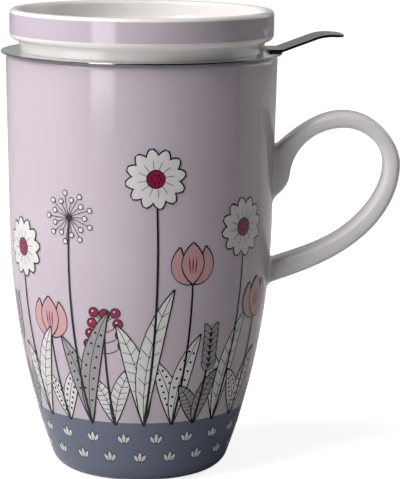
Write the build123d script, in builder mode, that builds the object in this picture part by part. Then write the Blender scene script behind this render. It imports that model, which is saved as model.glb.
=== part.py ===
"""Tall porcelain tea mug with an ear handle, a steel strainer that hangs in its mouth, and a loose lid.

Millimetres, +Z up. The origin is on the mug's axis, in the plane of the foot ring that it stands on.
The handle points along +X. The strainer and the lid are drawn in their seats.
"""

import os
from math import cos, radians, sin, tan

from build123d import *

# Mug body
mug_height = 136.0
rim_radius = 43.8
upper_wall_height = 56.0
upper_wall_lean = 1.1
foot_radius = 27.3
foot_round = 6.9
wall = 3.1
floor = 5.0
floor_round = 10.0
rim_round_outside = 1.9
rim_round_inside = 0.8
recess_radius = 19.5
recess_depth = 1.8
recess_round = 1.2

# Handle: drops are below the rim, reaches are from the rim's outside, slopes are rise over run
handle_depth = 11.0
handle_round = 2.2
handle_reach = 40.2
elbow_drop = 36.0
crown_drop = 18.6
crown_reach = 21.9
shoulder_drop = 24.2
shoulder_reach = 34.9
strap = 5.2
hip_drop = 58.4
hip_reach = 29.6
hip_strap = 5.8
hip_slope = 0.95
upper_root_drop = 29.9
upper_root_height = 17.2
upper_root_slope = 0.9
throat_drop = 39.0
throat_reach = 4.3
throat_slope = 5.0
lower_root_drop = 74.5
lower_root_height = 7.4
lower_root_slope = 0.34
root_bite = 6.0

# Strainer
flange_overhang = 1.5
rim_sheet = 0.6
sleeve_gap = 4.2
sleeve_sheet = 0.4
collar_height = 7.0
collar_bend = 0.4
sleeve_top_gap = 1.0
strainer_depth = 66.0
base_sheet = 0.4
base_rim_height = 5.0
base_bend = 0.9
slot_width = 1.2
slot_foot_gap = 6.5
slot_bridge = 3.0
slot_tiers = 3
slots_around = 60
slot_drop = 11.5
hole_radius = 0.8
hole_margin = 6.1
hole_rings = 6
holes_per_ring = 6

# Tab on the strainer's flange: reaches are past the flange's edge
tab_width = 15.0
tab_sheet = 0.8
tab_turn = 5.0
tab_foot = 5.0
tab_reach = 20.1
tab_crest = 12.0
tab_rise = 4.7
tab_droop = 0.3
tab_bend = 5.0
tab_foot_bend = 1.6
tab_tip_round = 4.5
tab_foot_round = 1.2

# Lid
lid_inset = 1.3
lid_height = 13.4
lid_band_height = 9.2
lid_wall = 3.2
lid_floor = 3.4
dish_depth = 8.6
dish_lean = 0.8
dish_round = 4.5
neck_seat = 3.0
neck_lean = 0.7
neck_round = 0.9
ring_height = 3.2
ring_wall = 3.0
ring_gap = 1.2
ring_round = 2.0
lip_round = 1.4
band_round = 2.2
edge_round = 0.5

# Heights and radii that follow
mouth_radius = rim_radius - wall
upper_wall_foot = mug_height - upper_wall_height
upper_wall_radius = rim_radius - upper_wall_height * tan(radians(upper_wall_lean))
flange_radius = rim_radius + flange_overhang
flange_top = mug_height + rim_sheet
sleeve_outer = mouth_radius - sleeve_gap
sleeve_inner = sleeve_outer - sleeve_sheet
collar_inner = sleeve_inner - rim_sheet
base_outer = sleeve_outer + base_sheet
strainer_foot = mug_height - strainer_depth
slot_span = strainer_depth - slot_drop - slot_foot_gap
slot_height = (slot_span - (slot_tiers - 1) * slot_bridge) / slot_tiers
slot_cut = 4 * sleeve_sheet
hole_ring_step = (sleeve_inner - hole_margin) / hole_rings
lid_radius = rim_radius - lid_inset
lid_top = flange_top + lid_height
band_bottom = lid_top - lid_band_height
dish_floor = lid_top - dish_depth
dish_rim = lid_radius - lid_wall
neck_radius = sleeve_inner + neck_seat
ring_radius = collar_inner - ring_gap

# The mug's outer form as one solid: a leaning wall that curves in to the foot
with BuildPart() as envelope:
    with BuildSketch(Plane.XZ):
        with BuildLine():
            axis_line = Line((0, 0), (0, mug_height))
            rim_line = Line(axis_line @ 1, (rim_radius, mug_height))
            upper_line = Line(rim_line @ 1, (upper_wall_radius, upper_wall_foot))
            lower_line = TangentArc(upper_line @ 1, (foot_radius, 0), tangent=upper_line % 1)
            Line(lower_line @ 1, axis_line @ 0)
        make_face()
    revolve(axis=Axis.Z)

# The slice of that form that thickens the floor
with BuildPart() as floor_slice:
    add(envelope.part)
    split(bisect_by=Plane.XY.offset(floor), keep=Keep.BOTTOM)

# Mug body: hollowed, with a rounded rim and foot, and a recess inside the foot ring
with BuildPart() as mug_body:
    add(envelope.part)
    offset(amount=-wall, openings=mug_body.faces().sort_by(Axis.Z)[-1], kind=Kind.INTERSECTION)
    add(floor_slice.part)
    inside_floor = mug_body.faces().filter_by(Plane.XY).sort_by(Axis.Z)[1]
    fillet(inside_floor.edges(), radius=floor_round)
    fillet(mug_body.faces().sort_by(Axis.Z)[0].edges(), radius=foot_round)
    rim_edges = mug_body.faces().sort_by(Axis.Z)[-1].edges().sort_by(SortBy.RADIUS)
    fillet(rim_edges[-1], radius=rim_round_outside)
    rim_edges = mug_body.faces().sort_by(Axis.Z)[-1].edges().sort_by(SortBy.RADIUS)
    fillet(rim_edges[0], radius=rim_round_inside)
    with BuildSketch(Plane.XY):
        Circle(recess_radius)
    extrude(amount=recess_depth, mode=Mode.SUBTRACT)
    recess_face = mug_body.faces().filter_by(Plane.XY).sort_by(Axis.Z)[1]
    fillet(recess_face.edges(), radius=recess_round)

# Handle: an ear drawn as an outer and an inner curve, rounded, then cut to the wall that it is luted to
root_x = rim_radius - root_bite
upper_root = mug_height - upper_root_drop - root_bite * upper_root_slope
lower_root = mug_height - lower_root_drop - root_bite * lower_root_slope
crown = Vector(rim_radius + crown_reach, mug_height - crown_drop)
shoulder = Vector(rim_radius + shoulder_reach, mug_height - shoulder_drop)
elbow = Vector(rim_radius + handle_reach, mug_height - elbow_drop)
hip = Vector(rim_radius + hip_reach, mug_height - hip_drop)
throat = Vector(rim_radius + throat_reach, mug_height - throat_drop)
hip_inward = Vector(-hip_slope, 1).normalized()
shoulder_inward = Vector(-1, -1).normalized()
with BuildPart() as mug_handle:
    with BuildSketch(Plane.XZ):
        with BuildLine():
            outer_curve = Spline(
                (root_x, upper_root),
                crown,
                shoulder,
                elbow,
                hip,
                (root_x, lower_root),
                tangents=[(1, upper_root_slope), (1, 0), (1, -1), (0, -1), (-1, -hip_slope), (-1, -lower_root_slope)],
            )
            inner_curve = Spline(
                (root_x, lower_root + lower_root_height),
                hip + hip_inward * hip_strap,
                elbow - Vector(strap, 0),
                shoulder + shoulder_inward * strap,
                crown - Vector(0, strap),
                throat,
                (root_x, upper_root - upper_root_height),
                tangents=[
                    (1, lower_root_slope), (1, hip_slope), (0, 1), (-1, 1),
                    (-1, 0), (-1, -throat_slope), (-1, -upper_root_slope),
                ],
            )
            Line(outer_curve @ 1, inner_curve @ 0)
            Line(inner_curve @ 1, outer_curve @ 0)
        make_face()
    extrude(amount=handle_depth / 2, both=True)
    fillet(mug_handle.edges().filter_by(GeomType.BSPLINE), radius=handle_round)
    add(envelope.part, mode=Mode.SUBTRACT)

# Strainer rim: a flat flange on the mug's rim, its inner edge turned down into a collar
with BuildPart() as strainer_rim:
    with BuildSketch(Plane.XZ):
        with BuildLine():
            FilletPolyline(
                (flange_radius, mug_height),
                (sleeve_inner, mug_height),
                (sleeve_inner, mug_height - collar_height),
                radius=collar_bend,
            )
            offset(amount=rim_sheet, side=Side.RIGHT)
        make_face()
    revolve(axis=Axis.Z)

# Strainer wall: a slotted sleeve round the collar
with BuildPart() as strainer_wall:
    sleeve_foot = strainer_foot + base_bend
    sleeve_top = mug_height - sleeve_top_gap
    with BuildSketch(Plane.XY.offset(sleeve_foot)):
        Circle(sleeve_outer)
        Circle(sleeve_inner, mode=Mode.SUBTRACT)
    extrude(amount=sleeve_top - sleeve_foot)
    for tier in range(slot_tiers):
        slot_top = mug_height - slot_drop - tier * (slot_height + slot_bridge)
        with BuildSketch(Plane.XY.offset(slot_top)):
            with PolarLocations(sleeve_outer, slots_around):
                Rectangle(slot_cut, slot_width)
        extrude(amount=-slot_height, mode=Mode.SUBTRACT)

# Strainer base: a shallow cup over the sleeve's lower end, its floor pierced in rings
with BuildPart() as strainer_base:
    with BuildSketch(Plane.XZ):
        with BuildLine():
            FilletPolyline(
                (base_outer, strainer_foot + base_rim_height),
                (base_outer, strainer_foot),
                (0, strainer_foot),
                radius=base_bend,
            )
            offset(amount=base_sheet, side=Side.RIGHT)
        make_face()
    revolve(axis=Axis.Z)
    with BuildSketch(Plane.XY.offset(strainer_foot)):
        Circle(hole_radius)
        for ring in range(1, hole_rings + 1):
            with PolarLocations(ring * hole_ring_step, ring * holes_per_ring):
                Circle(hole_radius)
    extrude(amount=base_sheet, mode=Mode.SUBTRACT)

# Strainer tab: a bent strip on the flange, rounded at both ends
tab_along = (cos(radians(tab_turn)), sin(radians(tab_turn)), 0)
tab_across = (sin(radians(tab_turn)), -cos(radians(tab_turn)), 0)
tab_start = flange_radius - tab_foot
tab_end = flange_radius + tab_reach
with BuildPart() as strainer_tab:
    with BuildSketch(Plane((0, 0, 0), x_dir=tab_along, z_dir=tab_across)):
        with BuildLine():
            FilletPolyline(
                (tab_start, flange_top),
                (flange_radius, flange_top),
                (flange_radius + tab_crest, flange_top + tab_rise),
                (tab_end, flange_top + tab_rise - tab_droop),
                radius=[tab_foot_bend, tab_bend],
            )
            offset(amount=tab_sheet, side=Side.LEFT)
        make_face()
    extrude(amount=tab_width, both=True)
    with BuildSketch(Plane((0, 0, flange_top), x_dir=tab_along, z_dir=(0, 0, 1))) as tab_plan:
        with Locations(((tab_start + tab_end) / 2, 0)):
            Rectangle(tab_end - tab_start, tab_width)
        fillet(tab_plan.vertices().sort_by(Axis.X)[0:2], radius=tab_foot_round)
        fillet(tab_plan.vertices().sort_by(Axis.X)[-2:], radius=tab_tip_round)
    extrude(amount=2 * tab_rise + tab_sheet, mode=Mode.INTERSECT)

# Lid: a dish whose neck stands on the flange, with a ring below that centres it in the collar
with BuildPart() as lid:
    with BuildSketch(Plane.XZ):
        with BuildLine():
            FilletPolyline(
                (0, dish_floor),
                (dish_rim - dish_lean, dish_floor),
                (dish_rim, lid_top),
                (lid_radius, lid_top),
                (lid_radius, band_bottom),
                (neck_radius + neck_lean, band_bottom),
                (neck_radius, flange_top),
                (ring_radius, flange_top),
                (ring_radius, flange_top - ring_height),
                (ring_radius - ring_wall, flange_top - ring_height),
                (ring_radius - ring_wall, dish_floor - lid_floor),
                (0, dish_floor - lid_floor),
                radius=[
                    0, dish_round, lip_round, lip_round, band_round, neck_round,
                    edge_round, edge_round, edge_round, edge_round, ring_round, 0,
                ],
                close=True,
            )
        make_face()
    revolve(axis=Axis.Z)

pieces = {
    "mug_body": mug_body,
    "mug_handle": mug_handle,
    "strainer_rim": strainer_rim,
    "strainer_wall": strainer_wall,
    "strainer_base": strainer_base,
    "strainer_tab": strainer_tab,
    "lid": lid,
}
os.makedirs("parts", exist_ok=True)
for name, piece in pieces.items():
    piece.part.label = name
    export_step(piece.part, f"parts/{name}.step")
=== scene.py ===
# %% [markdown]
# # A tall tea mug with a strainer and a lid
# The mug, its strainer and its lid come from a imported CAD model, which stays the fixed frame of this
# lesson. Blender adds what a drawing of sizes lacks: fired glaze, brushed steel, soft joints in the clay
# and a printed garden. Everything is in metres and in the model's own frame, so each piece is made where it
# belongs and is never moved.

# %% Load the frame
import math

import bmesh
import bpy
from mathutils import Matrix, Vector


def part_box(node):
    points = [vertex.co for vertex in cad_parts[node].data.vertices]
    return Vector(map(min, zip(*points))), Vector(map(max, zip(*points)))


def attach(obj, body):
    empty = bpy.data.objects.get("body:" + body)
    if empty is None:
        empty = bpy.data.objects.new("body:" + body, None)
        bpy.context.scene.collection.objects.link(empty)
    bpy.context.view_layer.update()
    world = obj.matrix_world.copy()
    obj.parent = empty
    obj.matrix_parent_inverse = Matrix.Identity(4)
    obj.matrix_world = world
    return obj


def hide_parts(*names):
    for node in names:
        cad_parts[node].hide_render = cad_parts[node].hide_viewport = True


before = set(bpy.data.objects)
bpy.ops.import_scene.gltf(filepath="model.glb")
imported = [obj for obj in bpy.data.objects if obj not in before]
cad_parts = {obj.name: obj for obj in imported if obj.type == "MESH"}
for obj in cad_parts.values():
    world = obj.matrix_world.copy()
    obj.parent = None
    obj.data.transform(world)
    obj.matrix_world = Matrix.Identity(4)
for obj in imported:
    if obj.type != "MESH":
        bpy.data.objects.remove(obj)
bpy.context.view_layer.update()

mm = 0.001


def in_mm(values):
    """Lengths in metres as millimetres, for printing."""
    return [round(value / mm, 1) for value in values]


# %% [markdown]
# ## The wall as a formula
# The porcelain wall leans a little outwards, and below that it curves in to the foot on one arc.
# Its radius could be read from the mesh at every height, but the handle's joints and the print need it
# thousands of times. So the outline is written once, as a straight line and the arc that is tangent to it,
# and checked against the mesh.

# %% The wall as a formula
mug_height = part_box("mug_body")[1].z
rim_radius = 43.8 * mm
upper_wall = 56 * mm
wall_lean = math.tan(math.radians(1.1))
foot_radius = 27.3 * mm
wall = 3.1 * mm
arc_start = Vector((rim_radius - upper_wall * wall_lean, mug_height - upper_wall))
arc_inward = Vector((-1, wall_lean)).normalized()
arc_chord = Vector((foot_radius, 0)) - arc_start
arc_radius = arc_chord.length_squared / (2 * arc_chord.dot(arc_inward))
arc_centre = arc_start + arc_inward * arc_radius


def wall_radius(height):
    """Radius of the mug's outside at a height."""
    if height > arc_start.y:
        return rim_radius - (mug_height - height) * wall_lean
    return arc_centre.x + math.sqrt(arc_radius ** 2 - (height - arc_centre.y) ** 2)


for share in (0.2, 0.4, 0.6, 0.8):
    height = share * mug_height
    _, place, _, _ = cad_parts["mug_body"].ray_cast(Vector((0, -1, height)), Vector((0, 1, 0)))
    print("height", in_mm([height]), "formula", in_mm([wall_radius(height)]), "mesh", in_mm([-place.y]))

# %% [markdown]
# ## Small helpers for nodes
# A material is a graph of nodes. Written out one by one, a graph hides what it does behind many lines.
# One helper adds a node, sets its options and feeds its inputs, and the others each do one step of a graph.

# %% Small helpers for nodes
def add(tree, kind, options=None, feeds=None):
    """Add a node, set its options, and feed its inputs with plain values or with other nodes' sockets."""
    node = tree.nodes.new(kind)
    for name, value in (options or {}).items():
        setattr(node, name, value)
    for name, value in (feeds or {}).items():
        if isinstance(value, bpy.types.NodeSocket):
            tree.links.new(value, node.inputs[name])
        else:
            node.inputs[name].default_value = value
    return node


def sum_of(tree, operation, first, second=0.0):
    """One step of arithmetic on sockets or numbers."""
    return add(tree, "ShaderNodeMath", {"operation": operation}, {0: first, 1: second}).outputs[0]


def ramp(tree, value, low, high, to_low=0.0, to_high=1.0):
    """Map a value smoothly from one range to another, and hold it at both ends."""
    feeds = {"Value": value, "From Min": low, "From Max": high, "To Min": to_low, "To Max": to_high}
    node = add(tree, "ShaderNodeMapRange", {"interpolation_type": "SMOOTHSTEP"}, feeds)
    return node.outputs["Result"]


def blend(tree, mask, first, second):
    """Mix two colours by a mask."""
    node = add(tree, "ShaderNodeMix", {"data_type": "RGBA"}, {0: mask, 6: first, 7: second})
    return node.outputs[2]


def noise(tree, vector, scale, detail=2.0):
    """Fractal noise between 0 and 1."""
    node = add(tree, "ShaderNodeTexNoise", None, {"Vector": vector, "Scale": scale, "Detail": detail})
    return node.outputs["Fac"]


def place_in(tree):
    """The place on the piece, in metres."""
    return add(tree, "ShaderNodeTexCoord").outputs["Object"]


def axes_of(tree, vector):
    """A vector's X, Y and Z."""
    return add(tree, "ShaderNodeSeparateXYZ", None, {"Vector": vector}).outputs


def length_of(tree, vector):
    """A vector's length."""
    return add(tree, "ShaderNodeVectorMath", {"operation": "LENGTH"}, {0: vector}).outputs["Value"]


def times(tree, vector, by):
    """A vector times another, axis by axis."""
    return add(tree, "ShaderNodeVectorMath", {"operation": "MULTIPLY"}, {0: vector, 1: by}).outputs[0]


def shaded(tree, colour, level):
    """A colour made lighter or darker by a level."""
    return add(tree, "ShaderNodeVectorMath", {"operation": "SCALE"}, {0: colour, "Scale": level}).outputs[0]


# %% [markdown]
# A finish that several materials share is a node group. It puts out a colour, a roughness and a height, and
# the material itself holds the shader. These helpers open a group, open a material and wire the one to the
# other.

# %% Helpers for groups and materials
def new_group(name, inputs):
    """An empty node group with named inputs and a finish's three outputs, and its two end nodes."""
    tree = bpy.data.node_groups.new(name, "ShaderNodeTree")
    outputs = [("Colour", "NodeSocketColor"), ("Roughness", "NodeSocketFloat"), ("Height", "NodeSocketFloat")]
    for way, sockets in (("INPUT", inputs), ("OUTPUT", outputs)):
        for label, kind in sockets:
            tree.interface.new_socket(label, in_out=way, socket_type=kind)
    return tree, tree.nodes.new("NodeGroupInput"), tree.nodes.new("NodeGroupOutput")


def new_finish(name):
    """A new material, its graph and its shader."""
    material = bpy.data.materials.new(name)
    material.use_nodes = True
    return material, material.node_tree, material.node_tree.nodes["Principled BSDF"]


def wire(tree, shader, surface, strength, depth):
    """Lead a group's colour, roughness and height to the shader."""
    tree.links.new(surface.outputs["Colour"], shader.inputs["Base Color"])
    tree.links.new(surface.outputs["Roughness"], shader.inputs["Roughness"])
    feeds = {"Strength": strength, "Distance": depth, "Height": surface.outputs["Height"]}
    bump = add(tree, "ShaderNodeBump", None, feeds)
    tree.links.new(bump.outputs["Normal"], shader.inputs["Normal"])


def refinish(node, finish):
    """Give a CAD node a better material and leave its mesh alone."""
    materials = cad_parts[node].data.materials
    materials.clear()
    materials.append(finish)


# %% [markdown]
# ## Fired glaze
# A dipped and fired glaze is smooth but not perfect: it ripples by a few hundredths of a millimetre like
# orange peel, its colour clouds a little where it lies thicker, and here and there a bubble left a pinhole.
# Every glazed piece and every printed colour shows this, so it is one group that each material feeds with a
# colour.

# %% Fired glaze
cloud_scale = 45.0
pinhole_scale = 190.0
pinhole_edge = (0.045, 0.02)
pinhole_patch_scale = 70.0
pinhole_patch_edge = (0.62, 0.68)
pinhole_shade = 0.72
gloss_scale = 160.0
gloss_span = (0.3, 0.7)
gloss_roughness = (0.07, 0.13)
ripple_scale = 330.0
ripple_depth = 0.03 * mm
ripple_strength = 0.12


def make_glaze_group():
    """Cloud a colour and give it the roughness and the ripple of a fired glaze."""
    inputs = [("Colour", "NodeSocketColor"), ("Clouding", "NodeSocketFloat")]
    tree, given, result = new_group("fired_glaze", inputs)
    place = place_in(tree)
    clouds = sum_of(tree, "SUBTRACT", noise(tree, place, cloud_scale, 3.0), 0.5)
    level = sum_of(tree, "ADD", sum_of(tree, "MULTIPLY", clouds, given.outputs["Clouding"]), 1.0)
    clouded = shaded(tree, given.outputs["Colour"], level)
    cells = add(tree, "ShaderNodeTexVoronoi", None, {"Vector": place, "Scale": pinhole_scale})
    near = ramp(tree, cells.outputs["Distance"], *pinhole_edge)
    rare = ramp(tree, noise(tree, place, pinhole_patch_scale), *pinhole_patch_edge)
    pinhole = sum_of(tree, "MULTIPLY", near, rare)
    pitted = shaded(tree, clouded, ramp(tree, pinhole, 0.0, 1.0, 1.0, pinhole_shade))
    rough = ramp(tree, noise(tree, place, gloss_scale), *gloss_span, *gloss_roughness)
    ripple = sum_of(tree, "SUBTRACT", noise(tree, place, ripple_scale, 1.0), pinhole)
    tree.links.new(pitted, result.inputs["Colour"])
    tree.links.new(rough, result.inputs["Roughness"])
    tree.links.new(ripple, result.inputs["Height"])
    return tree


glaze_group = make_glaze_group()


def glazed(name, colour, clouding=0.08):
    """A glazed material. The colour is a plain value, or a function that builds it in the graph."""
    material, tree, shader = new_finish(name)
    feeds = {"Colour": colour(tree) if callable(colour) else colour, "Clouding": clouding}
    surface = add(tree, "ShaderNodeGroup", {"node_tree": glaze_group}, feeds)
    wire(tree, shader, surface, ripple_strength, ripple_depth)
    return material


print("glaze group nodes", len(glaze_group.nodes))

# %% [markdown]
# ## The mug's colours
# The mug is dipped in lilac outside and left white inside, and a slate band is painted round its foot.
# The colours could be painted on the mesh face by face, but the CAD mesh must not change.
# So the material works out where it is: the height picks the band, and the distance from the wall's outside
# picks the white. The handle is white all over, in a white painted a little lighter than the lid's: painted
# light, which makes up for light that the lamps don't bring to it.

# %% The mug's colours
lilac = (0.585, 0.502, 0.57, 1)
porcelain = (0.885, 0.848, 0.84, 1)
# Painted light: the handle's white is lighter than the porcelain white to stand for light the lamps leave off
# it.
handle_white_painted_lighter = (0.935, 0.9, 0.893, 1)
slate = (0.142, 0.16, 0.228, 1)
bare_clay = (0.74, 0.70, 0.64, 1)
band_top = 21.7 * mm
edge_blur = 0.12 * mm
rim_glaze = 0.4 * mm
bare_foot = 0.12 * mm


def position(tree):
    """Height above the foot and distance from the mug's axis."""
    place = place_in(tree)
    return axes_of(tree, place)["Z"], length_of(tree, times(tree, place, (1, 1, 0)))


def mug_colour(tree):
    """Lilac wall, slate band, white inside and rim, bare foot ring."""
    height, radius = position(tree)
    below = sum_of(tree, "MINIMUM", height, arc_start.y)
    fall = sum_of(tree, "POWER", sum_of(tree, "SUBTRACT", below, arc_centre.y), 2.0)
    curve = sum_of(tree, "SQRT", sum_of(tree, "SUBTRACT", arc_radius ** 2, fall))
    above = sum_of(tree, "MAXIMUM", sum_of(tree, "SUBTRACT", height, arc_start.y), 0.0)
    low_wall = sum_of(tree, "ADD", curve, arc_centre.x)
    outside = sum_of(tree, "ADD", low_wall, sum_of(tree, "MULTIPLY", above, wall_lean))
    inside = sum_of(tree, "LESS_THAN", radius, sum_of(tree, "SUBTRACT", outside, wall / 2))
    band = ramp(tree, height, band_top + edge_blur, band_top - edge_blur)
    rim = ramp(tree, height, mug_height - rim_glaze - edge_blur, mug_height - rim_glaze + edge_blur)
    painted = blend(tree, band, lilac, slate)
    white = sum_of(tree, "MAXIMUM", inside, rim)
    glossy = blend(tree, white, painted, porcelain)
    return blend(tree, sum_of(tree, "LESS_THAN", height, bare_foot), glossy, bare_clay)


mug_glaze = glazed("lilac_glaze_mug", mug_colour)
handle_glaze_painted_lighter = glazed("white_glaze", handle_white_painted_lighter)
refinish("mug_body", mug_glaze)
print("mug glaze nodes", len(mug_glaze.node_tree.nodes))

# %% [markdown]
# ## The lid's colours
# The lid is a white dish with a lilac band round its side. Its lip stays white. Under the band the rounding
# and the neck are painted a little creamier, as painted light that cancels the cool light the steel flange
# throws up on them. The same reading of height and radius that zones the mug zones the lid.

# %% The lid's colours
lid_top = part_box("lid")[1].z
lid_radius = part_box("lid")[1].x
# Painted light: a warmer white under the band, against the cool light that the steel throws up.
neck_cream_painted_warm = (0.885, 0.832, 0.795, 1)
lip = 1.15 * mm
band_foot = 7.75 * mm
band_skin = 0.5 * mm


def lid_colour(tree):
    """A lilac band between two heights on the lid's side, white over it and cream under it."""
    height, radius = position(tree)
    under_lip = ramp(tree, height, lid_top - lip + edge_blur, lid_top - lip - edge_blur)
    over_foot = ramp(tree, height, lid_top - band_foot - edge_blur, lid_top - band_foot + edge_blur)
    outer = sum_of(tree, "GREATER_THAN", radius, lid_radius - band_skin)
    band = sum_of(tree, "MULTIPLY", sum_of(tree, "MULTIPLY", under_lip, over_foot), outer)
    white = blend(tree, over_foot, neck_cream_painted_warm, porcelain)
    return blend(tree, band, white, lilac)


lid_glaze = glazed("lilac_glaze_lid", lid_colour)
print("lid radius and top", in_mm([lid_radius, lid_top]))

# %% [markdown]
# ## Brushed steel
# The strainer is thin stainless sheet. Its satin look is a field of fine scratches that all run one way:
# round the flange, which was turned, and along the tab, which was belt-ground.
# One group makes the scratches from any direction that it is given, so a material only says how its sheet
# was brushed.

# %% Brushed steel
scratch_detail = 5.0
scratch_span = (0.25, 0.75)
scratch_wear = 0.07
scratch_depth = 0.01 * mm
scratch_strength = 0.2
shine_span = (0.3, 0.7)
shine = (0.84, 1.0)
smudge_scale = 90.0
smudge_span = (0.35, 0.75)
smudge_wear = 0.06


def make_steel_group():
    """Fine scratches and faint smudges from a stretched position."""
    inputs = [("Vector", "NodeSocketVector"), ("Colour", "NodeSocketColor"), ("Dullness", "NodeSocketFloat")]
    tree, given, result = new_group("brushed_steel", inputs)
    scratches = noise(tree, given.outputs["Vector"], 1.0, scratch_detail)
    smudges = noise(tree, place_in(tree), smudge_scale, 3.0)
    colour = shaded(tree, given.outputs["Colour"], ramp(tree, scratches, *shine_span, *shine))
    scratched = ramp(tree, scratches, *scratch_span, 0.0, scratch_wear)
    smudged = ramp(tree, smudges, *smudge_span, 0.0, smudge_wear)
    worn = sum_of(tree, "ADD", scratched, smudged)
    rough = sum_of(tree, "ADD", given.outputs["Dullness"], worn)
    tree.links.new(colour, result.inputs["Colour"])
    tree.links.new(rough, result.inputs["Roughness"])
    tree.links.new(scratches, result.inputs["Height"])
    return tree


steel_group = make_steel_group()


def steel(name, brushed, colour, dullness):
    """A steel material. Functions build its stretched position and its colour in the material's graph."""
    material, tree, shader = new_finish(name)
    shader.inputs["Metallic"].default_value = 1.0
    feeds = {"Vector": brushed(tree), "Colour": colour(tree), "Dullness": dullness}
    surface = add(tree, "ShaderNodeGroup", {"node_tree": steel_group}, feeds)
    wire(tree, shader, surface, scratch_strength, scratch_depth)
    return material


print("steel group nodes", len(steel_group.nodes))

# %% [markdown]
# The ring, the sleeve and the cup were brushed on a lathe, so their scratches depend on the radius and the
# height alone. The flange's outer edge is painted darker than the sheet: a duller cut edge, darkened further
# as painted shade for the dark that the edge mirrors.

# %% Steel turned on a lathe
across_scratches = 9000.0
sheet_steel = (0.60, 0.62, 0.67, 1)
# Painted shade on the flange's outer edge, on top of the duller cut, and the width of that dark edge below.
painted_dark_edge_steel = (0.3, 0.3, 0.305, 1)
turned_dullness = 0.03
flange_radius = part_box("strainer_rim")[1].x
dark_edge_width = 0.1 * mm


def brushed_round(tree):
    """Scratches that run round the axis."""
    height, radius = position(tree)
    feeds = {
        "X": sum_of(tree, "MULTIPLY", radius, across_scratches),
        "Y": sum_of(tree, "MULTIPLY", height, across_scratches),
    }
    return add(tree, "ShaderNodeCombineXYZ", None, feeds).outputs[0]


def sheet_with_painted_dark_edge(tree):
    """Bright sheet with a dark outer edge: a duller cut, darkened further as painted shade."""
    _, radius = position(tree)
    edge = ramp(tree, radius, flange_radius - 2 * dark_edge_width, flange_radius - dark_edge_width)
    return blend(tree, edge, sheet_steel, painted_dark_edge_steel)


turned_steel = steel("steel_turned", brushed_round, sheet_with_painted_dark_edge, turned_dullness)
refinish("strainer_base", turned_steel)
print("flange radius", in_mm([flange_radius]))

# %% [markdown]
# The tab was ground along its length and then cut to shape. Its cut edges are painted near black, as painted
# shade for the dark studio that they mirror. It stands a few degrees off the X axis, so its material first
# turns the place to run along the strip.

# %% Steel ground along the tab
along_scratches = 120.0
tab_sheet_steel = (0.82, 0.82, 0.845, 1)
# Painted shade: the near-black colour of the tab's edges stands for the dark that they mirror.
painted_dark_tab_edge_steel = (0.13, 0.13, 0.135, 1)
tab_tint = (0.5, 0.5, 0.5, 1)
tab_dullness = 0.09
tab_turn = math.radians(5)
tab_width = 15 * mm
tab_reach = 19.9 * mm
tab_corner = 4.5 * mm


def along_tab(tree):
    """The place, turned so that X runs out along the tab."""
    feeds = {"Vector": place_in(tree), "Rotation": (0, 0, tab_turn)}
    return add(tree, "ShaderNodeMapping", {"vector_type": "TEXTURE"}, feeds).outputs[0]


def brushed_along_tab(tree):
    """Scratches that run out along the tab."""
    return times(tree, along_tab(tree), (along_scratches, across_scratches, along_scratches))


def strip_with_painted_dark_edge(tree):
    """Bright sheet with a painted dark edge along its sides and round its tip, painted shade for what the
    edge mirrors.
    """
    axes = axes_of(tree, along_tab(tree))
    tip = flange_radius + tab_reach - tab_corner
    ahead = sum_of(tree, "MAXIMUM", sum_of(tree, "SUBTRACT", axes["X"], tip), 0.0)
    aside = sum_of(tree, "SUBTRACT", sum_of(tree, "ABSOLUTE", axes["Y"]), tab_width / 2 - tab_corner)
    feeds = {"X": ahead, "Y": sum_of(tree, "MAXIMUM", aside, 0.0)}
    away = length_of(tree, add(tree, "ShaderNodeCombineXYZ", None, feeds).outputs[0])
    edge = ramp(tree, away, tab_corner - 2 * dark_edge_width, tab_corner - dark_edge_width)
    return blend(tree, edge, tab_sheet_steel, painted_dark_tab_edge_steel)


tab_steel = steel("steel_tab", brushed_along_tab, strip_with_painted_dark_edge, tab_dullness)
tab_steel.node_tree.nodes["Principled BSDF"].inputs["Specular Tint"].default_value = tab_tint
print("tab steel nodes", len(tab_steel.node_tree.nodes))

# %% [markdown]
# ## From a bmesh to a piece
# Each new piece goes the same way: its bmesh is shaded smooth between its sharp edges and becomes a mesh
# with a finish, and the object rides on the CAD body that carries the real piece. It stays at the origin,
# as the CAD nodes do. Where a round edge meets a wide flat face, the face's own direction must win, which
# is what weighted normals do.

# %% From a bmesh to a piece
weld = 0.01 * mm


def make_piece(name, bm, finish, body, nodes=()):
    """Turn a bmesh into a piece that rides on a body and stands for some CAD nodes."""
    for face in bm.faces:
        face.smooth = True
    mesh = bpy.data.meshes.new(name)
    bm.to_mesh(mesh)
    bm.free()
    mesh.materials.append(finish)
    piece = bpy.data.objects.new(name, mesh)
    bpy.context.scene.collection.objects.link(piece)
    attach(piece, body)
    if nodes:
        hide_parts(*nodes)
    low = Vector(piece.bound_box[0])
    high = Vector(piece.bound_box[6])
    print(name, len(mesh.polygons), "faces from", in_mm(low), "to", in_mm(high))
    return piece


def keep_flats_flat(piece):
    """Let wide faces set the shading where they meet narrow ones."""
    weighted = piece.modifiers.new("flats", "WEIGHTED_NORMAL")
    weighted.weight = 100
    weighted.keep_sharp = True


def verts_of(geom):
    """The vertices among what an operator made."""
    return [part for part in geom if isinstance(part, bmesh.types.BMVert)]


# %% [markdown]
# ## The handle
# The handle is an ear of white porcelain, cast apart and luted on with slip, which leaves a soft fillet on
# the wall. It could be one sweep along a curve, but its strap is thick at the upper root and thin at the
# crown. So a ring is extruded from station to station. Each station is a pair of points, one on the ear's
# outer curve and one on its inner curve, and the ring is stretched between them.

# %% The handle's places
root_bite = 0.4 * mm


def below_rim(reach, drop):
    """A place in the handle's plane, from how far out of the rim and how far below it lies."""
    return Vector((rim_radius + reach, mug_height - drop))


def on_wall_at(drop):
    """A place just inside the wall, below the rim."""
    height = mug_height - drop
    return Vector((wall_radius(height) - root_bite, height))


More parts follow.
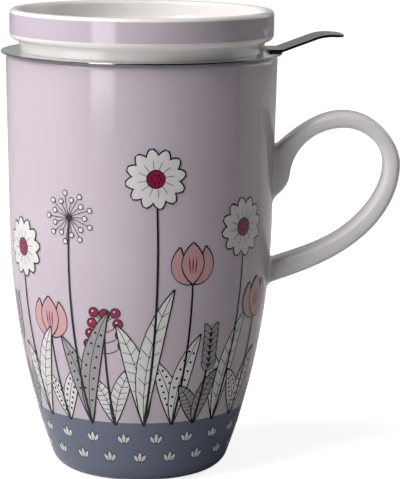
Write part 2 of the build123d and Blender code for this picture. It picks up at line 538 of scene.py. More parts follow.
strap = 5.2 * mm
hip_strap = 5.8 * mm
crown = below_rim(21.9 * mm, 18.6 * mm)
shoulder = below_rim(34.9 * mm, 24.2 * mm)
elbow = below_rim(40.2 * mm, 36 * mm)
hip = below_rim(29.6 * mm, 58.4 * mm)
crown_inside = crown - Vector((0, strap))
shoulder_inside = shoulder - Vector((1, 1)).normalized() * strap
elbow_inside = elbow - Vector((strap, 0))
hip_inside = hip + Vector((-0.95, 1)).normalized() * hip_strap
throat = below_rim(4.4 * mm, 39 * mm)
upper_root = on_wall_at(30.8 * mm)
upper_root_inside = on_wall_at(47.3 * mm)
lower_root = on_wall_at(75.1 * mm)
lower_root_inside = on_wall_at(67.6 * mm)
print("crown", in_mm(crown), "elbow", in_mm(elbow), "roots", in_mm(upper_root), in_mm(lower_root))

# %% [markdown]
# Between two places the ear follows a bow, a curve that leaves the first one in its own direction and comes
# to the second in its own. Stations are crowded at both ends, where the fillets turn fast.

# %% The handle's two curves
root_way = (1, 0.9)
throat_way = (1, 9)
over_way = (1, 0)
round_way = (1, -1)
down_way = (0, -1)
hip_way = (-1, -0.95)
leave_way = (-1, -0.34)
plain_fullness = 0.345
throat_fullness = 0.42
crown_fullness = 0.39
throat_share = 0.2
root_steps = 56
middle_steps = 40
crowding = 1.5


def bow(start, start_way, end, end_way, share, fullness=plain_fullness):
    """A point on the curve that leaves start along start_way and comes to end along end_way."""
    pull = (end - start).length * fullness
    first = start + Vector(start_way).normalized() * pull
    second = end - Vector(end_way).normalized() * pull
    rest = 1 - share
    near = start * rest ** 3 + first * 3 * share * rest ** 2
    return near + second * 3 * share ** 2 * rest + end * share ** 3


def on_spans(spans, share):
    """A point on a chain of bows, each of them one share long."""
    span = min(int(share), len(spans) - 1)
    return bow(*spans[span], share - span)


def outer_curve(share):
    """The ear's outer curve, from the upper root at 0 to the lower root at 5."""
    spans = [
        (upper_root, root_way, crown, over_way),
        (crown, over_way, shoulder, round_way),
        (shoulder, round_way, elbow, down_way),
        (elbow, down_way, hip, hip_way),
        (hip, hip_way, lower_root, leave_way),
    ]
    return on_spans(spans, share)


def inner_curve(share):
    """The ear's inner curve, with the same shares as the outer one and a throat under the upper root."""
    if share < throat_share:
        before = share / throat_share
        return bow(upper_root_inside, root_way, throat, throat_way, before, throat_fullness)
    if share < 1:
        past = (share - throat_share) / (1 - throat_share)
        return bow(throat, throat_way, crown_inside, over_way, past, crown_fullness)
    spans = [
        (crown_inside, over_way, shoulder_inside, round_way),
        (shoulder_inside, round_way, elbow_inside, down_way),
        (elbow_inside, down_way, hip_inside, hip_way),
        (hip_inside, hip_way, lower_root_inside, leave_way),
    ]
    return on_spans(spans, share - 1)


shares = [(step / root_steps) ** crowding for step in range(root_steps)]
shares += [1 + 3 * step / middle_steps for step in range(middle_steps)]
shares += [5 - (1 - step / root_steps) ** crowding for step in range(root_steps + 1)]
print("handle stations", len(shares))

# %% [markdown]
# The ring starts as a circle. At each station its four quarters are drawn apart into the corners of the
# strap's section, so that the strap is flat in front, outside and inside, and its corners keep one rounding
# all along. Near the wall every point is pushed away from the strap's middle on a quarter circle, which is
# the luted fillet.

# %% The handle's mesh
handle_depth = 11 * mm
corner_depth = 2.4 * mm
corner_strap = 1.9 * mm
ring_segments = 32
root_fillet = 1.6 * mm
near_zero = 1e-6


def pull_apart(unit, half, rounding):
    """One coordinate of a rounded rectangle, from the same coordinate of a unit circle."""
    if abs(unit) < near_zero:
        return 0.0
    return math.copysign(half - rounding, unit) + unit * rounding


def place_ring(ring, circle, share):
    """Set a ring on the strap at a station, and return the strap's middle there."""
    outer = outer_curve(share)
    inner = inner_curve(share)
    middle = (outer + inner) / 2
    thick = (outer - inner).length / 2
    way = (outer - inner).normalized()
    for vert, unit in zip(ring, circle):
        across = pull_apart(unit.x, handle_depth / 2, corner_depth)
        out = pull_apart(unit.y, thick, corner_strap)
        vert.co = (middle.x + way.x * out, across, middle.y + way.y * out)
    return Vector((middle.x, 0, middle.y))


def lute(vert, hub):
    """Spread a point near the wall on the fillet, away from the strap's middle."""
    gap = math.hypot(vert.co.x, vert.co.y) - wall_radius(vert.co.z)
    if gap > root_fillet:
        return
    spread = root_fillet - math.sqrt(root_fillet ** 2 - (root_fillet - max(gap, 0)) ** 2)
    away = Vector((vert.co.y - hub.y, vert.co.z - hub.z)).normalized() * spread
    across = vert.co.y + away.x
    height = vert.co.z + away.y
    out = wall_radius(height) + gap
    vert.co = (math.sqrt(out ** 2 - across ** 2), across, height)


def make_handle():
    """The ear, ring by ring, with both ends closed inside the wall."""
    bm = bmesh.new()
    ring = bmesh.ops.create_circle(bm, segments=ring_segments, radius=1)["verts"]
    circle = [vert.co.copy() for vert in ring]
    edges = bm.edges[:]
    for number, share in enumerate(shares):
        if number:
            made = bmesh.ops.extrude_edge_only(bm, edges=edges)["geom"]
            ring = verts_of(made)
            fresh = set(ring)
            edges = [part for part in made if isinstance(part, bmesh.types.BMEdge)]
            edges = [edge for edge in edges if fresh.issuperset(edge.verts)]
        hub = place_ring(ring, circle, share)
        for vert in ring:
            lute(vert, hub)
    bmesh.ops.holes_fill(bm, edges=[edge for edge in bm.edges if edge.is_boundary], sides=0)
    bmesh.ops.recalc_face_normals(bm, faces=bm.faces)
    return bm


make_piece("handle_luted", make_handle(), handle_glaze_painted_lighter, "mug", ["mug_handle"])

# %% [markdown]
# ## Round corners on an outline
# Neither sheet metal nor fired clay has sharp edges: a stamped edge is broken a little and a bend has a
# radius. An outline is drawn with a few corner points, and a vertex bevel rounds each corner to its own
# radius before the outline is spun or drawn out.

# %% Round corners on an outline
spin_steps = 160
spin_weld = 0.001 * mm


def bevel_corners(bm, corners, reach, segments):
    """Round some corners of an outline or of a sheet, from a reach along their edges."""
    bmesh.ops.bevel(
        bm, geom=corners, offset=reach, offset_type="OFFSET", affect="VERTICES",
        segments=segments, profile=0.5, material=-1, clamp_overlap=False,
    )


def draw_outline(bm, places, roundings, closed, segments=5):
    """Draw a line through some places and round each corner to its own radius."""
    verts = [bm.verts.new(place) for place in places]
    for vert, after in zip(verts, verts[1:] + verts[:1] if closed else verts[1:]):
        bm.edges.new((vert, after))
    for vert, rounding in zip(verts, roundings):
        if rounding:
            first, second = [edge.other_vert(vert).co - vert.co for edge in vert.link_edges]
            bevel_corners(bm, [vert], rounding / math.tan(first.angle(second) / 2), segments)


def make_turned(corners, closed=True):
    """Spin an outline of radius, height and rounding about the axis. An open outline ends on the axis."""
    bm = bmesh.new()
    places = [(radius, 0, height) for radius, height, _ in corners]
    draw_outline(bm, places, [rounding for _, _, rounding in corners], closed)
    bmesh.ops.spin(
        bm, geom=bm.verts[:] + bm.edges[:], cent=(0, 0, 0), axis=(0, 0, 1),
        angle=2 * math.pi, steps=spin_steps, use_merge=True,
    )
    bmesh.ops.remove_doubles(bm, verts=bm.verts, dist=spin_weld)
    bmesh.ops.recalc_face_normals(bm, faces=bm.faces)
    return bm


print("a turned piece has", spin_steps, "facets of", 360 / spin_steps, "degrees")

# %% [markdown]
# ## The strainer's rim
# A stamped ring: a flat flange that hangs on the mug's rim, turned down inside into a collar. It could stay
# the CAD node, but that ring's outer edge and foot are sharp. Here its outline is spun with a radius of its
# own at every corner. The sheared outer edge is the thin dark line that runs round the mug under the lid.

# %% The strainer's rim
flange_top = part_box("strainer_rim")[1].z
collar_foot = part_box("strainer_rim")[0].z
rim_sheet = flange_top - mug_height
sleeve_inner = 36.1 * mm
collar_inner = sleeve_inner - rim_sheet
rolled = 0.25 * mm
trimmed = 0.08 * mm
collar_bend = 0.9 * mm
collar_bend_under = 0.35 * mm
rim_corners = [
    (flange_radius, mug_height, rolled),
    (flange_radius, flange_top, trimmed),
    (collar_inner, flange_top, collar_bend),
    (collar_inner, collar_foot, rolled),
    (sleeve_inner, collar_foot, rolled),
    (sleeve_inner, mug_height, collar_bend_under),
]
rim_bm = make_turned(rim_corners)
rim = make_piece("strainer_rim_rolled", rim_bm, turned_steel, "strainer", ["strainer_rim"])
keep_flats_flat(rim)

# %% [markdown]
# ## The lid
# The lid is thrown or jiggered on a wheel: a shallow dish with a thick lip, a neck that stands on the
# flange, and a ring below that centres it in the basket. The CAD lid has one rounding for all the hidden
# edges, which leaves a dark groove where the neck stands on the steel. So the same outline is turned again,
# with a crisp foot and a fuller bead.

# %% The lid
dish_floor = lid_top - 8.6 * mm
dish_rim = lid_radius - 3.2 * mm
dish_lean = 0.8 * mm
dish_round = 4.5 * mm
lip_round = 1.4 * mm
band_bottom = lid_top - 9.7 * mm
bead_round = 1.95 * mm
neck_radius = sleeve_inner + 3 * mm
neck_lean = 0.7 * mm
neck_round = 0.4 * mm
crisp = 0.12 * mm
ring_radius = collar_inner - 1.2 * mm
ring_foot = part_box("lid")[0].z
ring_inner = ring_radius - 3 * mm
ring_round = 0.5 * mm
underside = dish_floor - 3.4 * mm
underside_round = 2 * mm
lid_corners = [
    (0, dish_floor, 0),
    (dish_rim - dish_lean, dish_floor, dish_round),
    (dish_rim, lid_top, lip_round),
    (lid_radius, lid_top, lip_round),
    (lid_radius, band_bottom, bead_round),
    (neck_radius + neck_lean, band_bottom, neck_round),
    (neck_radius, flange_top, crisp),
    (ring_radius, flange_top, ring_round),
    (ring_radius, ring_foot, ring_round),
    (ring_inner, ring_foot, ring_round),
    (ring_inner, underside, underside_round),
    (0, underside, 0),
]
lid_bm = make_turned(lid_corners, closed=False)
lid = make_piece("lid_turned", lid_bm, lid_glaze, "lid", ["lid"])
keep_flats_flat(lid)

# %% [markdown]
# ## The strainer's wall
# The basket's side is a slotted sheet rolled to a tube. Slots with round ends are stamped while the sheet
# is still flat. One slot's cell is made the same way: a square inset to a window, its corners bevelled
# round. The cell is copied across the flat sheet.

# %% The slotted sheet
sleeve_outer = 36.5 * mm
sleeve_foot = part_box("strainer_wall")[0].z
sleeve_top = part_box("strainer_wall")[1].z
slots_around = 60
slot_tiers = 3
slot_width = 1.2 * mm
slot_height = 14 * mm
slot_pitch = 17 * mm
slot_end = slot_width / 2 * 0.96
slots_top = mug_height - 11.5 * mm
cell_width = 2 * math.pi * sleeve_inner / slots_around


def make_slot_cell(bm):
    """One cell of the flat sheet, with its round-ended slot cut out."""
    bmesh.ops.create_grid(bm, x_segments=1, y_segments=1, size=0.5)
    window = bm.faces[:]
    bmesh.ops.inset_region(bm, faces=window, thickness=0.25, use_boundary=True)
    corners = window[0].verts[:]
    for vert in bm.verts:
        inner = vert in corners
        vert.co.x = math.copysign((slot_width if inner else cell_width) / 2, vert.co.x)
        vert.co.y = math.copysign((slot_height if inner else slot_pitch) / 2, vert.co.y)
    bevel_corners(bm, corners, slot_end, 3)
    widest = max(bm.faces, key=lambda face: len(face.verts))
    bmesh.ops.delete(bm, geom=[widest], context="FACES_ONLY")


def make_slotted_sheet(bm):
    """All the cells side by side, with plain margins up to the sheet's top and down to its foot."""
    make_slot_cell(bm)
    cell = bm.verts[:] + bm.edges[:] + bm.faces[:]
    for tier in range(slot_tiers):
        for column in range(slots_around):
            copy = bmesh.ops.duplicate(bm, geom=cell)["geom"]
            lift = slots_top - slot_height / 2 - tier * slot_pitch
            bmesh.ops.translate(bm, vec=(column * cell_width, lift, 0), verts=verts_of(copy))
    bmesh.ops.delete(bm, geom=verts_of(cell), context="VERTS")
    bmesh.ops.remove_doubles(bm, verts=bm.verts, dist=weld)
    highest = max(vert.co.y for vert in bm.verts)
    lowest = min(vert.co.y for vert in bm.verts)
    for level, end in ((highest, sleeve_top), (lowest, sleeve_foot)):
        edges = [edge for edge in bm.edges if all(abs(vert.co.y - level) < weld for vert in edge.verts)]
        made = bmesh.ops.extrude_edge_only(bm, edges=edges)["geom"]
        bmesh.ops.translate(bm, vec=(0, end - level, 0), verts=verts_of(made))


print("slots", slots_around * slot_tiers, "cell", in_mm([cell_width, slot_pitch]))

# %% [markdown]
# Rolling turns each place's length along the sheet into an angle, and the two ends are merged where they
# meet. Then all the faces are extruded at once to the outer radius, which makes the sheet's thickness and
# the walls of the slots.

# %% The rolled sleeve
sharp_turn = math.radians(40)


def make_sleeve():
    """The slotted sheet, rolled up and drawn out to its thickness."""
    bm = bmesh.new()
    make_slotted_sheet(bm)
    for vert in bm.verts:
        turn = vert.co.x / sleeve_inner
        vert.co = (sleeve_inner * math.cos(turn), sleeve_inner * math.sin(turn), vert.co.y)
    bmesh.ops.remove_doubles(bm, verts=bm.verts, dist=weld)
    made = bmesh.ops.extrude_face_region(bm, geom=bm.faces[:], use_keep_orig=True)["geom"]
    for vert in verts_of(made):
        vert.co.xy *= sleeve_outer / sleeve_inner
    bmesh.ops.recalc_face_normals(bm, faces=bm.faces)
    for edge in bm.edges:
        edge.smooth = edge.calc_face_angle() < sharp_turn
    return bm


make_piece("strainer_wall_slotted", make_sleeve(), turned_steel, "strainer", ["strainer_wall"])

# %% [markdown]
# ## The tab
# A bent strip, spot-welded to the flange, to lift the hot strainer by. It is drawn from the side as a line
# with two bends, drawn out to its width, and its corners are rounded in plan. A Solidify modifier gives it
# the sheet's thickness and a Bevel modifier breaks the edges, as tumbling does on the real strip.

# %% The tab
tab_sheet = 0.8 * mm
tab_foot = 5 * mm
tab_foot_corner = 0.4 * mm
tab_heel = 0.4 * mm
tab_heel_bend = 1.6 * mm
tab_crest = 13.2 * mm
tab_crest_bend = 14 * mm
tab_rise = 4.95 * mm
tab_droop = 0.35 * mm
tab_broken_edge = 0.07 * mm


def make_tab():
    """The bent strip's underside, turned to its place round the mug."""
    bm = bmesh.new()
    side = [
        (flange_radius - tab_foot, flange_top, 0),
        (flange_radius - tab_heel, flange_top, tab_heel_bend),
        (flange_radius + tab_crest, flange_top + tab_rise, tab_crest_bend),
        (flange_radius + tab_reach, flange_top + tab_rise - tab_droop, 0),
    ]
    places = [(out, -tab_width / 2, height) for out, height, _ in side]
    draw_outline(bm, places, [rounding for _, _, rounding in side], closed=False, segments=10)
    made = bmesh.ops.extrude_edge_only(bm, edges=bm.edges[:])["geom"]
    bmesh.ops.translate(bm, vec=(0, tab_width, 0), verts=verts_of(made))
    for end, rounding in ((max, tab_corner), (min, tab_foot_corner)):
        far = end(vert.co.x for vert in bm.verts)
        bevel_corners(bm, [vert for vert in bm.verts if abs(vert.co.x - far) < weld], rounding, 8)
    bmesh.ops.recalc_face_normals(bm, faces=bm.faces)
    if sum(face.normal.z for face in bm.faces) < 0:
        bmesh.ops.reverse_faces(bm, faces=bm.faces)
    bmesh.ops.rotate(bm, cent=(0, 0, 0), matrix=Matrix.Rotation(tab_turn, 3, "Z"), verts=bm.verts)
    return bm


tab = make_piece("strainer_tab_bent", make_tab(), tab_steel, "strainer", ["strainer_tab"])
thicken = tab.modifiers.new("sheet", "SOLIDIFY")
thicken.thickness = tab_sheet
thicken.offset = 1.0
broken_edge = tab.modifiers.new("broken edge", "BEVEL")
broken_edge.width = tab_broken_edge
broken_edge.segments = 2
broken_edge.limit_method = "ANGLE"
broken_edge.harden_normals = True

# %% [markdown]
# ## Printing on the wall
# The print is a transfer: thin flat colour, slid wet on to the fired glaze and fired again. It is made as
# real, very thin shapes that lie on the wall, so it needs no picture file and bends with the mug.
# A shape is one stroke: a grid is drawn along a curve, given a width along its length, and wrapped round
# the wall. Each colour is a mesh of its own, and a later layer lies a hundredth of a millimetre over the
# one below.

# %% Strokes on the wall
colours = {
    "line": (0.012, 0.010, 0.011, 1),
    "white": (0.74, 0.71, 0.71, 1),
    "rose": (0.60, 0.35, 0.36, 1),
    "crimson": (0.27, 0.012, 0.058, 1),
    "grey": (0.35, 0.325, 0.345, 1),
}
inks = {name: bmesh.new() for name in colours}
first_lift = 0.02 * mm
layer_step = 0.01 * mm
line_width = 0.36 * mm


def on_wall(turn, spot, layer):
    """Wrap a flat place round the wall: its width from a line at an angle, its height from the foot."""
    angle = turn + spot.x / wall_radius(spot.y)
    out = wall_radius(spot.y) + first_lift + layer * layer_step
    return Vector((out * math.sin(angle), -out * math.cos(angle), spot.y))


def along(path, share):
    """The point on a curve of three points, and the direction across it."""
    start, pull, end = path
    point = start * (1 - share) ** 2 + pull * 2 * share * (1 - share) + end * share ** 2
    way = (pull - start) * (1 - share) + (end - pull) * share
    return point, Vector((way.y, -way.x)).normalized()


def stroke(ink, turn, path, width, layer, steps=9, splits=2):
    """One stroke along a path, with a width at each share of its length."""
    made = bmesh.ops.create_grid(inks[ink], x_segments=splits, y_segments=steps, size=0.5)
    for vert in made["verts"]:
        share = vert.co.y + 0.5
        point, across = along(path, share)
        vert.co = on_wall(turn, point + across * (vert.co.x * width(share)), layer)


def dot(ink, turn, place, radius, layer, segments=14):
    """A round dot."""
    made = bmesh.ops.create_circle(inks[ink], cap_ends=True, cap_tris=True, segments=segments, radius=radius)
    for vert in made["verts"]:
        vert.co = on_wall(turn, place + vert.co.xy, layer)


def ringed(ink, turn, place, radius, ring, layer, segments=14):
    """A round dot on a larger dark one."""
    dot("line", turn, place, ring, layer, segments)
    dot(ink, turn, place, radius, layer + 1, segments)


def outlined(ink, turn, path, width, layer, splits=4, line=line_width):
    """A filled stroke with a dark line all round it."""
    start, pull, end = path
    before = start + (start - pull).normalized() * line
    after = end + (end - pull).normalized() * line
    stroke("line", turn, (before, pull, after), lambda share: width(share) + 2 * line, layer, splits=splits)
    stroke(ink, turn, path, width, layer + 1, splits=splits)


def leaf_width(most):
    """Widest in the middle, pointed at both ends."""
    return lambda share: most * math.sin(math.pi * share) ** 0.8


def petal_width(most):
    """Widest near the tip, and blunt there."""
    return lambda share: most * math.sin(math.pi * (0.06 + 0.9 * share ** 1.25)) ** 0.7


def line_of(width):
    """The same width all along."""
    return lambda share: width


print("inks", sorted(inks))

# %% [markdown]
# ## The garden's plants
# The print is a row of garden plants that grow up from the band: daisies, tulips, puffs of seed, berries
# and grass. Each kind is one short function that draws its head at a place, in shares of the head's size,
# and the leaves are shared by all of them.

# %% Leaves
vein = 0.22 * mm
stripe_line = 0.2 * mm
stripe_reach = 0.9
stripe_slant = 0.05
leaf_dot = 0.42 * mm
leaf_dot_reach = 0.5


def flat(across, height):
    """A flat place, in millimetres across and millimetres over the foot."""
    return Vector((across, height)) * mm


def arched(start, end, sag=0.0):
    """A path between two places, pulled off to one side by a share of their distance."""
    way = end - start
    return start, (start + end) / 2 + Vector((-way.y, way.x)) * sag, end


def leaf(ink, turn, root, tip, width, sag, layer, marks):
    """A pointed leaf with a vein, striped or dotted."""
    path = arched(root, tip, sag)
    outlined(ink, turn, path, leaf_width(width), layer, splits=6)
    stroke("line", turn, path, line_of(vein), layer + 2)
    for step in range(2, 9):
        point, across = along(path, step / 10)
        reach = leaf_width(width)(step / 10) / 2
        for side in (-1, 1):
            if marks == "stripes":
                edge = point + across * side * reach * stripe_reach + (tip - root) * stripe_slant
                stroke("line", turn, arched(point, edge), line_of(stripe_line), layer + 2, steps=3)
            else:
                place = point + across * side * reach * leaf_dot_reach
                dot("line", turn, place, leaf_dot, layer + 2, segments=8)


# %% [markdown]
# A daisy is a ring of outlined petals round a heart with seeds on it. A tulip is a cup of three petals, two
# behind and one in front, which has crimson streaks.

# %% Daisies and tulips
petals = 12
petal_turn = 0.3
petal_fold = 0.18 * mm
daisy_seeds = 7
tulip_streak = 0.5 * mm


def ray(number, count):
    """The direction of one of some rays that fan out evenly."""
    angle = 2 * math.pi * number / count
    return Vector((math.cos(angle), math.sin(angle)))


def daisy(turn, heart, size, layer):
    """White petals round a crimson heart."""
    for petal in range(petals):
        way = ray(petal + petal_turn, petals)
        start = heart + way * size * 0.22
        end = heart + way * size
        outlined("white", turn, arched(start, end), petal_width(size * 0.42), layer)
        fold = heart + way * size * 0.62
        stroke("line", turn, arched(start, fold, 0.06), line_of(petal_fold), layer + 2, steps=4)
    ringed("crimson", turn, heart, size * 0.29, size * 0.29 + line_width, layer + 3)
    for seed in range(daisy_seeds):
        place = heart + ray(seed, daisy_seeds) * size * 0.16
        dot("line", turn, place, size * 0.035, layer + 5, segments=8)


def tulip(turn, heart, size, layer):
    """Two cupped petals behind and one in front of them."""
    foot = heart - Vector((0, size * 0.75))
    for side in (-1, 1):
        tip = heart + Vector((side * size * 0.52, size * 0.62))
        pull = heart + Vector((side * size * 0.75, -size * 0.35))
        outlined("rose", turn, (foot, pull, tip), leaf_width(size * 0.62), layer)
    tip = heart + Vector((0, size * 0.78))
    outlined("rose", turn, arched(foot, tip), leaf_width(size * 0.86), layer + 2)
    for side in (-1, 0, 1):
        low = heart + Vector((side * size * 0.1, -size * 0.4))
        high = heart + Vector((side * size * 0.16, size * 0.3))
        stroke("crimson", turn, arched(low, high), leaf_width(tulip_streak), layer + 4, steps=5)


# %% [markdown]
# The small kinds are built from dots and short strokes: seeds on fine rays, berries in pairs on their
# stalks, and an ear of grass with its grains in pairs. Their dots and lines keep one size, whatever the
# plant's.

# %% Puffs, berries and grass
puff_rays = 18
puff_line = 0.2 * mm
puff_seed = 0.68 * mm
puff_seed_ring = 0.95 * mm
puff_heart = 1.1 * mm
stalk_line = 0.26 * mm
berry = 1.42 * mm
berry_ring = 1.75 * mm
berry_glint = 0.32 * mm
top_berry = 1.55 * mm
top_berry_ring = 1.9 * mm
grain_width = 1.5 * mm
grain_line = 0.25 * mm


def puff(turn, heart, size, layer):
    """A ball of seeds on fine rays."""
    for number in range(puff_rays):
        end = heart + ray(number, puff_rays) * size * (0.86 if number % 2 else 0.62)
        stroke("line", turn, arched(heart, end, 0.05), line_of(puff_line), layer, steps=5)
        ringed("white", turn, end, puff_seed, puff_seed_ring, layer + 1, segments=10)
    dot("line", turn, heart, puff_heart, layer + 3)


def berries(turn, heart, size, layer):
    """Crimson berries on short stalks, in pairs up the stem."""
    for step in range(4):
        for side in (-1, 1):
            root = heart - Vector((0, size * (0.35 + 0.5 * step)))
            tip = root + Vector((side * size * (0.5 + 0.1 * step), size * 0.42))
            stroke("line", turn, arched(root, tip, -0.2 * side), line_of(stalk_line), layer, steps=5)
            ringed("crimson", turn, tip, berry, berry_ring, layer + 1)
            dot("white", turn, tip + flat(-0.4, 0.45), berry_glint, layer + 3, segments=8)
    ringed("crimson", turn, heart, top_berry, top_berry_ring, layer + 1)


def grass(turn, heart, size, layer):
    """An ear of grass: small grey grains in pairs."""
    for step in range(7):
        for side in (-1, 1):
            root = heart - Vector((0, size * (0.1 + 0.26 * step)))
            tip = root + Vector((side * size * 0.3, size * 0.36))
            path = arched(root, tip, -0.15 * side)
            outlined("grey", turn, path, leaf_width(grain_width), layer, 2, grain_line)


# %% [markdown]
# ## Planting the garden
# A kind has a drawing, a size, and its leaves' ink and marks. A plant is a kind, an angle round the mug, a
# height and how far it leans, with lengths in millimetres. The list is planted once on the front, and once
# more, turned half round, on the back. Every second plant lies some layers higher, so that leaves cross
# cleanly.

# %% Planting the garden
kinds = {
    "daisy": (daisy, 9.2, "white", "stripes"),
    "tulip": (tulip, 8.4, "white", "dots"),
    "puff": (puff, 9.0, "grey", "dots"),
    "berries": (berries, 7.0, "white", "stripes"),
    "grass": (grass, 8.0, "grey", "stripes"),
}
garden = [
    ("grass", -69, 58, -3),
    ("daisy", -55, 76, -4),
    ("tulip", -40, 55, -3),
    ("puff", -26, 88, -4),
    ("berries", -13, 58, -2),
    ("daisy", 2, 101, 3),
    ("tulip", 17, 74, 4),
    ("grass", 29, 52, 3),
    ("daisy", 42, 84, 5),
    ("tulip", 57, 60, 3),
]
ground = band_top - 0.6 * mm
layers_apart = 13
stem_sag = 0.05
stem_foot = 0.85
stem_taper = 0.3
leaf_sag = 0.14
leaf_pair = ((-1, 0.42, 0), (1, 0.56, 3))


def plant(kind, degrees, height, tilt, layer):
    """A stem with two leaves and a head."""
    draw, size, ink, marks = kinds[kind]
    turn = math.radians(degrees)
    root = Vector((0, ground))
    heart = flat(tilt, height)
    stem = arched(root, heart, -stem_sag if tilt > 0 else stem_sag)
    tall = (heart.y - root.y) / mm
    leaf_most = (3.6 + 0.035 * tall) * mm
    for side, share, lift in leaf_pair:
        tip = root + flat(side * (5 + 0.05 * tall), tall * share)
        leaf(ink, turn, root, tip, leaf_most, leaf_sag * side, layer + lift, marks)
    stroke("line", turn, stem, lambda share: (stem_foot - stem_taper * share) * mm, layer + 6, steps=16)
    draw(turn, heart, size * mm, layer + 7)


for half_turn in (0, 180):
    for number, (kind, degrees, height, tilt) in enumerate(garden):
        plant(kind, degrees + half_turn, height, tilt, layers_apart * (number % 2))
print("plants", 2 * len(garden))

# %% [markdown]
# The slate band carries two rows of small tufts, set like the ticks of a clock and staggered from row to
# row. With them every ink is complete, and each one becomes a piece that rides on the mug.

# %% The band's tufts
tuft_heights = (8.0, 14.6)
tufts_around = 20
tuft_spread = 1.7
tuft_tall = 3.4
tuft_droop = 0.9
tuft_line = 0.2 * mm
tuft_blade = 1.1 * mm
ink_weld = 0.0005 * mm
ink_clouding = 0.22
for row, height in enumerate(tuft_heights):
    for number in range(tufts_around):
        turn = 2 * math.pi * (number + 0.5 * row) / tufts_around
        root = flat(0, height)
        for lean in (-1, 1, 0):
            tip = root + flat(tuft_spread * lean, tuft_tall - tuft_droop * abs(lean))
            path = arched(root, tip, -0.2 * lean)
            outlined("white", turn, path, leaf_width(tuft_blade), 0 if lean else 2, 2, tuft_line)

for name, bm in inks.items():
    bmesh.ops.remove_doubles(bm, verts=bm.verts, dist=ink_weld)
    bmesh.ops.dissolve_degenerate(bm, edges=bm.edges, dist=ink_weld)
    ink_glaze = glazed("print_" + name, colours[name], ink_clouding)
    make_piece("print_" + name, bm, ink_glaze, "mug")

# %% [markdown]
# ## Camera
# The photograph was taken from a little above, with a long lens. The place and the angles were found by
# matching the outlines of the rim, the flange and the foot.

# %% Camera
camera_place = (0, -0.716, 0.2019)
camera_pitch = 0.1757
camera_yaw = 0.027
camera_roll = 0.010
camera_lens = 167.06
camera = bpy.data.objects.new("camera", bpy.data.cameras.new("camera"))
bpy.context.scene.collection.objects.link(camera)
camera.data.lens = camera_lens
camera.matrix_world = (
    Matrix.Translation(camera_place)
    @ Matrix.Rotation(-camera_yaw, 4, "Z")
    @ Matrix.Rotation(math.pi / 2 - camera_pitch, 4, "X")
    @ Matrix.Rotation(camera_roll, 4, "Z")
)
bpy.context.scene.camera = camera
bpy.context.scene.view_settings.view_transform = "Standard"
print("camera at", in_mm(camera_place))

# %% [markdown]
# ## Light
# One large soft box stands high on the left, a little towards the camera, and models the form. A small one
# nearer the camera stands low on the table, and the glaze mirrors it as the pale window near the rim. A
# third, behind on the right, is weak and keeps the far side from going black.

# %% Light
def soft_box(name, place, aim, width, height, power):
    """An area lamp that looks from a place at a height on the mug's axis."""
    way = Vector(place) - Vector((0, 0, aim))
    lamp = bpy.data.lights.new(name, "AREA")
    lamp.shape = "RECTANGLE"
    lamp.size = width
    lamp.size_y = height
    lamp.energy = power
    lamp_object = bpy.data.objects.new(name, lamp)
    bpy.context.scene.collection.objects.link(lamp_object)
    lamp_object.matrix_world = Matrix.Translation(place) @ way.to_track_quat("Z", "Y").to_matrix().to_4x4()
    print(name, in_mm(place), power, "W")


def around(azimuth, distance, height):
    """A place round the mug. The azimuth is in degrees from the camera's side, to the right."""
    turn = math.radians(azimuth)
    return (math.sin(turn) * distance, -math.cos(turn) * distance, height)


soft_box("key", around(-59, 0.74, 0.89), aim=0.075, width=0.8, height=1.15, power=15.2)
soft_box("window", around(-32, 0.8, 0.105), aim=0.105, width=0.28, height=0.2, power=0.85)
soft_box("fill", around(120, 1.0, 0.45), aim=0.08, width=0.9, height=0.7, power=2.0)

# %% [markdown]
# ## Background
# The background is plain white. More light would burn the object out, so the world is white to the camera
# alone and almost dark to the object. Mirrors see a studio that is pale overhead, grey behind the mug and
# dark behind the camera, where a photographer hangs a black cloth.

# %% Background
white_paper = (1, 1, 1, 1)
ambient = 0.008
horizon_front = 0.02
horizon_back = 0.42
horizon_turn = (-0.3, 0.5)
overhead = 0.5
overhead_rise = (0.2, 0.7)


def seen_directly(tree):
    """A mask of the camera's rays, and one of the camera's, glossy and transmission rays together."""
    path = add(tree, "ShaderNodeLightPath").outputs
    seen = sum_of(tree, "MAXIMUM", path["Is Camera Ray"], path["Is Glossy Ray"])
    return path["Is Camera Ray"], sum_of(tree, "MAXIMUM", seen, path["Is Transmission Ray"])


world = bpy.data.worlds.new("studio")
world.use_nodes = True
bpy.context.scene.world = world
sky = world.node_tree
sky_camera, sky_seen = seen_directly(sky)
sky_axes = axes_of(sky, add(sky, "ShaderNodeTexCoord").outputs["Generated"])
horizon = ramp(sky, sky_axes["Y"], *horizon_turn, horizon_front, horizon_back)
ceiling = ramp(sky, sky_axes["Z"], *overhead_rise, 0.0, overhead)
studio = sum_of(sky, "MAXIMUM", ceiling, horizon)
mirrored_sky = blend(sky, sky_seen, (ambient, ambient, ambient, 1), studio)
sky_colour = blend(sky, sky_camera, mirrored_sky, white_paper)
sky.links.new(sky_colour, sky.nodes["Background"].inputs["Color"])
print("ambient", ambient, "horizon", horizon_front, horizon_back, "overhead", overhead)

# %% [markdown]
# ## Floor
# The floor is a sheet of paper. To the camera it glows white, and less so near the mug, so that it still
# darkens where the mug shades it. What it throws back on the object is shaped with greys, as a photographer
# does with cards: it is white on the left and behind the mug, and darker in front on the right. Mirrors see
# it dark towards the camera and in front on the right, with a faint glow far behind.

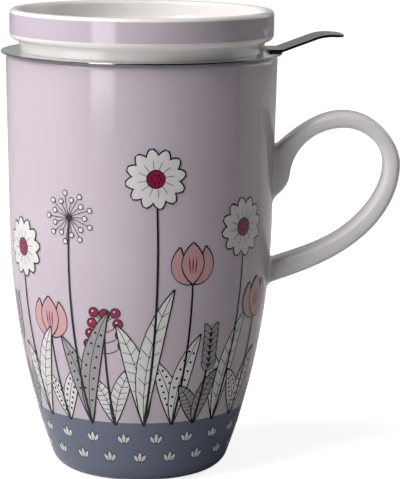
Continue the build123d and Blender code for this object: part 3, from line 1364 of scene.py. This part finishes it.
# %% Floor
bounce_left = 1.0
bounce_front = 0.5
bounce_back = 1.0
bounce_turn = (-0.15, 0.05)
bounce_rise = (0.0, 0.15)
mirrored_corner = 0.15
corner_turn = (-0.03, 0.05)
corner_rise = (-0.03, 0.03)
mirrored_front = 0.03
front_rise = (-0.7, -0.25)
mirrored_glow = 0.2
glow_rise = (0.0, 0.4)
glow_near_mug = 0.84
glow_reach = (0.12, 0.4)
fibre_scale = 400.0
fibre_span = (0.2, 0.8)
fibre_shade = (0.76, 0.8)
paper_roughness = 0.9

paper, paper_tree, paper_shader = new_finish("floor_paper")
paper_camera, paper_seen = seen_directly(paper_tree)
paper_place = place_in(paper_tree)
paper_axes = axes_of(paper_tree, paper_place)
right = paper_axes["X"]
depth = paper_axes["Y"]
fibres = ramp(paper_tree, noise(paper_tree, paper_place, fibre_scale), *fibre_span, *fibre_shade)
bounced_front = ramp(paper_tree, right, *bounce_turn, bounce_left, bounce_front)
bounced_back = ramp(paper_tree, depth, *bounce_rise, 0.0, bounce_back)
bounced = sum_of(paper_tree, "MAXIMUM", bounced_front, bounced_back)
mirrored = sum_of(paper_tree, "MULTIPLY", fibres, ramp(paper_tree, depth, *front_rise, mirrored_front, 1.0))
corner_left = ramp(paper_tree, right, *corner_turn, 1.0, mirrored_corner)
corner_back = ramp(paper_tree, depth, *corner_rise, 0.0, 1.0)
corner = sum_of(paper_tree, "MAXIMUM", corner_left, corner_back)
unseen = blend(paper_tree, paper_seen, bounced, sum_of(paper_tree, "MULTIPLY", mirrored, corner))
paper_colour = blend(paper_tree, paper_camera, unseen, fibres)
far_glow = sum_of(paper_tree, "MULTIPLY", paper_seen, ramp(paper_tree, depth, *glow_rise, 0.0, mirrored_glow))
shown = sum_of(paper_tree, "MAXIMUM", paper_camera, far_glow)
lit = ramp(paper_tree, length_of(paper_tree, paper_place), *glow_reach, glow_near_mug, 1.0)
paper_glow = sum_of(paper_tree, "MULTIPLY", lit, shown)
paper_shader.inputs["Roughness"].default_value = paper_roughness
paper_shader.inputs["Specular IOR Level"].default_value = 0.0
paper_shader.inputs["Emission Color"].default_value = white_paper
paper_tree.links.new(paper_colour, paper_shader.inputs["Base Color"])
paper_tree.links.new(paper_glow, paper_shader.inputs["Emission Strength"])
print("bounce", bounce_left, bounce_front, bounce_back, "paper nodes", len(paper_tree.nodes))

# %% [markdown]
# The sheet itself is one large face, which isn't part of the object. It lies a hair below the foot, so that
# the two never share a place.

# %% The sheet of paper
floor_reach = 4.0
floor_drop = 0.03 * mm
floor_bm = bmesh.new()
bmesh.ops.create_grid(floor_bm, x_segments=1, y_segments=1, size=floor_reach)
bmesh.ops.translate(floor_bm, vec=(0, 0, -floor_drop), verts=floor_bm.verts)
floor_mesh = bpy.data.meshes.new("floor")
floor_bm.to_mesh(floor_mesh)
floor_bm.free()
floor_mesh.materials.append(paper)
floor = bpy.data.objects.new("floor", floor_mesh)
bpy.context.scene.collection.objects.link(floor)
print("floor reaches", floor_reach, "m from the mug")
